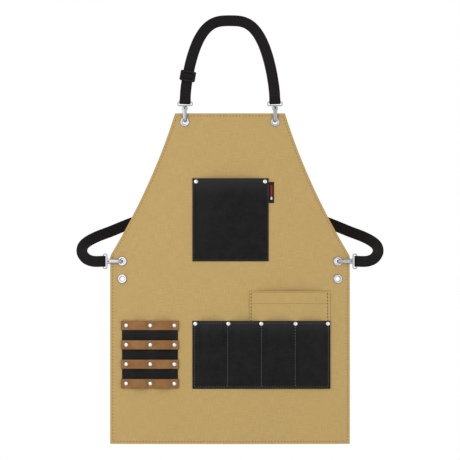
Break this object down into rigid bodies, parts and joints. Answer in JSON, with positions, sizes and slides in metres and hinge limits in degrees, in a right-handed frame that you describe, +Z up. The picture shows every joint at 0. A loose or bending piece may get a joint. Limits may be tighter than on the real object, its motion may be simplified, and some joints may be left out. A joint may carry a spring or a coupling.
{
  "type": "barber apron",
  "caption": "Canvas bib apron in its worn shape, with leather pockets, a leather tool holder and clip-on webbing straps, for a barber or stylist.",
  "frame": {"origin": "inner face of the neck strap at the nape, where the apron hangs on the wearer's neck", "axes": "+Z up, -Y the apron's front, +X to the right as seen from the front"},
  "size_m": [0.7448, 0.271, 1.0393],
  "materials": {
    "canvas": "matt plain-weave canvas",
    "black_leather": "fine grain",
    "brown_leather": "fine grain",
    "webbing": "ribbed webbing",
    "plastic": "satin moulded",
    "steel": "nickel plated"
  },
  "bodies": {
    "apron": {"apron_body": "canvas", "hip_pocket": "canvas", "chest_pocket": "black_leather", "tool_pocket": "black_leather", "holder_panel": "black_leather", "holder_strap_1": "brown_leather", "holder_strap_2": "brown_leather", "holder_strap_3": "brown_leather", "holder_strap_4": "brown_leather", "neck_strap": "webbing", "waist_strap": "webbing", "side_tag": "webbing", "strap_slider": "plastic", "chest_rivet_1": "steel", "chest_rivet_2": "steel", "pocket_rivet_1": "steel", "pocket_rivet_2": "steel", "pocket_rivet_3": "steel", "pocket_rivet_4": "steel", "pocket_rivet_5": "steel", "holder_rivet_1_1": "steel", "holder_rivet_1_2": "steel", "holder_rivet_1_3": "steel", "holder_rivet_2_1": "steel", "holder_rivet_2_2": "steel", "holder_rivet_2_3": "steel", "holder_rivet_3_1": "steel", "holder_rivet_3_2": "steel", "holder_rivet_3_3": "steel", "holder_rivet_4_1": "steel", "holder_rivet_4_2": "steel", "holder_rivet_4_3": "steel", "neck_eyelet_left": "steel", "neck_eyelet_right": "steel", "waist_eyelet_left": "steel", "waist_eyelet_right": "steel", "spare_eyelet_left": "steel", "spare_eyelet_right": "steel", "neck_left_loop": "steel", "neck_right_loop": "steel", "waist_left_loop": "steel", "waist_right_loop": "steel"},
    "neck_left_hook": {"neck_left_hook": "steel"},
    "neck_left_gate": {"neck_left_gate": "steel"},
    "neck_right_hook": {"neck_right_hook": "steel"},
    "neck_right_gate": {"neck_right_gate": "steel"},
    "waist_left_hook": {"waist_left_hook": "steel"},
    "waist_left_gate": {"waist_left_gate": "steel"},
    "waist_right_hook": {"waist_right_hook": "steel"},
    "waist_right_gate": {"waist_right_gate": "steel"}
  },
  "joints": [
    {"name": "neck_left_swivel", "type": "hinge", "parent": "apron", "child": "neck_left_hook", "pos_m": [-0.10876, -0.13593, -0.21001], "axis": [0.0006, 0.0058, 1], "range_deg": [-12, 12]},
    {"name": "neck_left_gate_hinge", "type": "hinge", "parent": "neck_left_hook", "child": "neck_left_gate", "pos_m": [-0.10779, -0.12701, -0.21446], "axis": [-0.9941, 0.1082, 0], "range_deg": [0, 15], "stiffness_Nm_per_rad": 0.02, "springref_deg": -34.38},
    {"name": "neck_right_swivel", "type": "hinge", "parent": "apron", "child": "neck_right_hook", "pos_m": [0.10876, -0.13593, -0.21001], "axis": [-0.0006, 0.0058, 1], "range_deg": [-12, 12]},
    {"name": "neck_right_gate_hinge", "type": "hinge", "parent": "neck_right_hook", "child": "neck_right_gate", "pos_m": [0.10779, -0.12701, -0.21446], "axis": [-0.9941, -0.1082, 0], "range_deg": [0, 15], "stiffness_Nm_per_rad": 0.02, "springref_deg": -34.38},
    {"name": "waist_left_swivel", "type": "hinge", "parent": "apron", "child": "waist_left_hook", "pos_m": [-0.29542, -0.10496, -0.584], "axis": [-0.9678, 0.2518, 0], "range_deg": [-12, 12]},
    {"name": "waist_left_gate_hinge", "type": "hinge", "parent": "waist_left_hook", "child": "waist_left_gate", "pos_m": [-0.28889, -0.09736, -0.584], "axis": [0, 0, -1], "range_deg": [0, 15], "stiffness_Nm_per_rad": 0.02, "springref_deg": -34.38},
    {"name": "waist_right_swivel", "type": "hinge", "parent": "apron", "child": "waist_right_hook", "pos_m": [0.29542, -0.10496, -0.584], "axis": [0.9678, 0.2518, 0], "range_deg": [-12, 12]},
    {"name": "waist_right_gate_hinge", "type": "hinge", "parent": "waist_right_hook", "child": "waist_right_gate", "pos_m": [0.28889, -0.09736, -0.584], "axis": [0, 0, 1], "range_deg": [0, 15], "stiffness_Nm_per_rad": 0.02, "springref_deg": -34.38}
  ]
}
